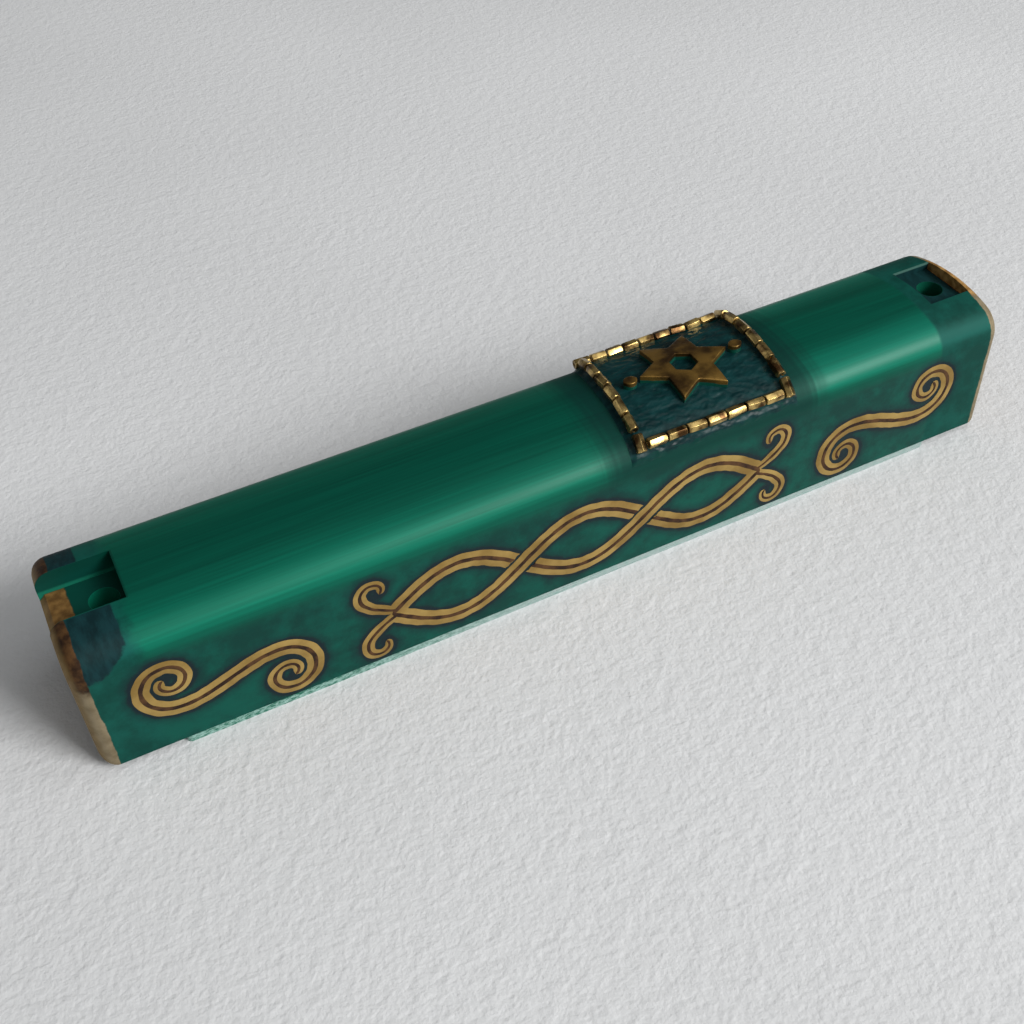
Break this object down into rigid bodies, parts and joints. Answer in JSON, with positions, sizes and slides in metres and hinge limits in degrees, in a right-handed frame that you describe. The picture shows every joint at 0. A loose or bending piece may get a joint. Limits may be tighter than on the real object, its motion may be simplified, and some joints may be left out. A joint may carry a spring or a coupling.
{
  "type": "mezuzah case",
  "caption": "Long moulded scroll case with a crowned front, snap-in back cover, nail-hole recesses at both ends and a painted panel framed by bugle beads.",
  "frame": {"origin": "centre of the back face, in the plane that lies against the wall", "axes": "+X along the case towards its upper end when hung, +Y to the left as seen on the wall, +Z away from the wall"},
  "size_m": [0.123, 0.0196, 0.0214],
  "materials": {
    "emerald_plastic": "satin, brushed translucent emerald paint with gold ends",
    "clear_plastic": "clear, with paint specks along its edge",
    "panel_paint": "thick brushed dark teal paint",
    "bronze_bead": "polished antique gold"
  },
  "bodies": {
    "case": {"case_body": "emerald_plastic", "panel_ground": "panel_paint", "left_bead_1": "bronze_bead", "left_bead_2": "bronze_bead", "left_bead_3": "bronze_bead", "left_bead_4": "bronze_bead", "left_bead_5": "bronze_bead", "left_bead_6": "bronze_bead", "left_bead_7": "bronze_bead", "left_bead_8": "bronze_bead", "left_bead_9": "bronze_bead", "right_bead_1": "bronze_bead", "right_bead_2": "bronze_bead", "right_bead_3": "bronze_bead", "right_bead_4": "bronze_bead", "right_bead_5": "bronze_bead", "right_bead_6": "bronze_bead", "right_bead_7": "bronze_bead", "lower_bead_1": "bronze_bead", "lower_bead_2": "bronze_bead", "lower_bead_3": "bronze_bead", "lower_bead_4": "bronze_bead", "lower_bead_5": "bronze_bead", "lower_bead_6": "bronze_bead", "lower_bead_7": "bronze_bead", "upper_bead_1": "bronze_bead", "upper_bead_2": "bronze_bead", "upper_bead_3": "bronze_bead", "upper_bead_4": "bronze_bead", "upper_bead_5": "bronze_bead", "upper_bead_6": "bronze_bead", "upper_bead_7": "bronze_bead"},
    "cover": {"back_cover": "clear_plastic"}
  },
  "joints": [
    {"name": "cover_pull", "type": "slide", "parent": "case", "child": "cover", "axis": [0, 0, -1], "range_m": [0, 0.03]}
  ]
}
